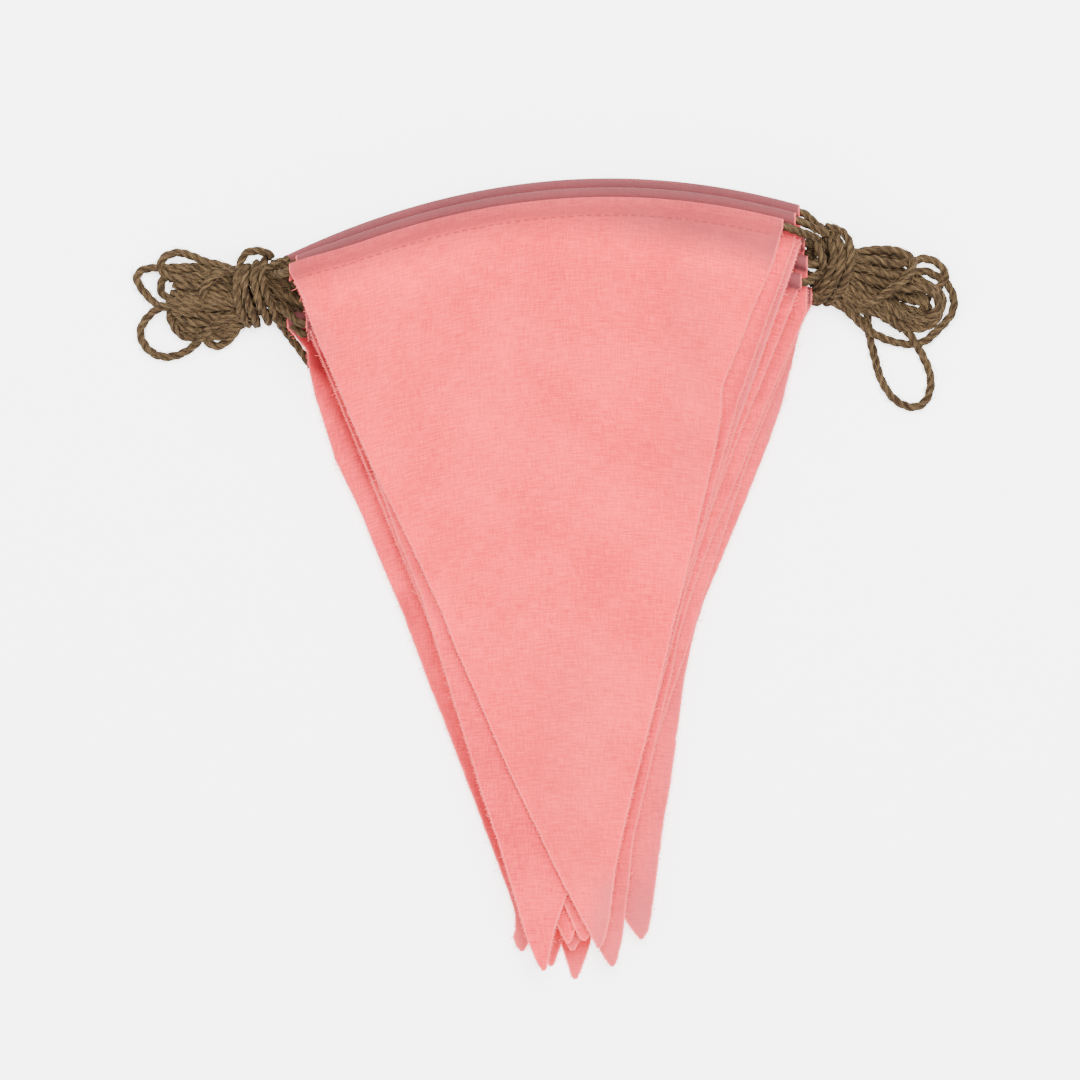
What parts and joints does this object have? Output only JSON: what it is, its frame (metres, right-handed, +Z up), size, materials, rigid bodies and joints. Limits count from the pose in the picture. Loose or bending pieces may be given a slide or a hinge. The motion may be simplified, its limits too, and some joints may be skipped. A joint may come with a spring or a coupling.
{
  "type": "fabric bunting",
  "caption": "Fabric bunting laid in a heap: triangular pink cotton pennants with raw frayed edges on jute twine, gathered to a bound hank at each upper corner.",
  "frame": {"origin": "centre of the bounding box on the table, under the middle of the heap", "axes": "+Z up from the table, -Y towards the pennants' tips, +X to the right seen from above with the tips towards the viewer"},
  "size_m": [0.3319, 0.3236, 0.0355],
  "materials": {
    "pink_cotton": "matt plain weave, light salmon pink",
    "pink_cotton_back": "matt plain weave, the same cloth in the heap's shade",
    "jute_twine": "matt three-ply jute, fuzzy"
  },
  "bodies": {
    "root": {"pennant_01": "pink_cotton", "pennant_02": "pink_cotton_back", "pennant_03": "pink_cotton_back", "pennant_04": "pink_cotton_back", "pennant_05": "pink_cotton_back", "pennant_06": "pink_cotton_back", "pennant_07": "pink_cotton_back", "pennant_08": "pink_cotton_back", "pennant_09": "pink_cotton_back", "pennant_10": "pink_cotton_back", "twine_run_01": "jute_twine", "twine_run_02": "jute_twine", "twine_run_03": "jute_twine", "twine_run_04": "jute_twine", "twine_run_05": "jute_twine", "twine_run_06": "jute_twine", "twine_run_07": "jute_twine", "twine_run_08": "jute_twine", "twine_run_09": "jute_twine", "twine_run_10": "jute_twine", "hank_left": "jute_twine", "hank_right": "jute_twine"}
  },
  "joints": []
}
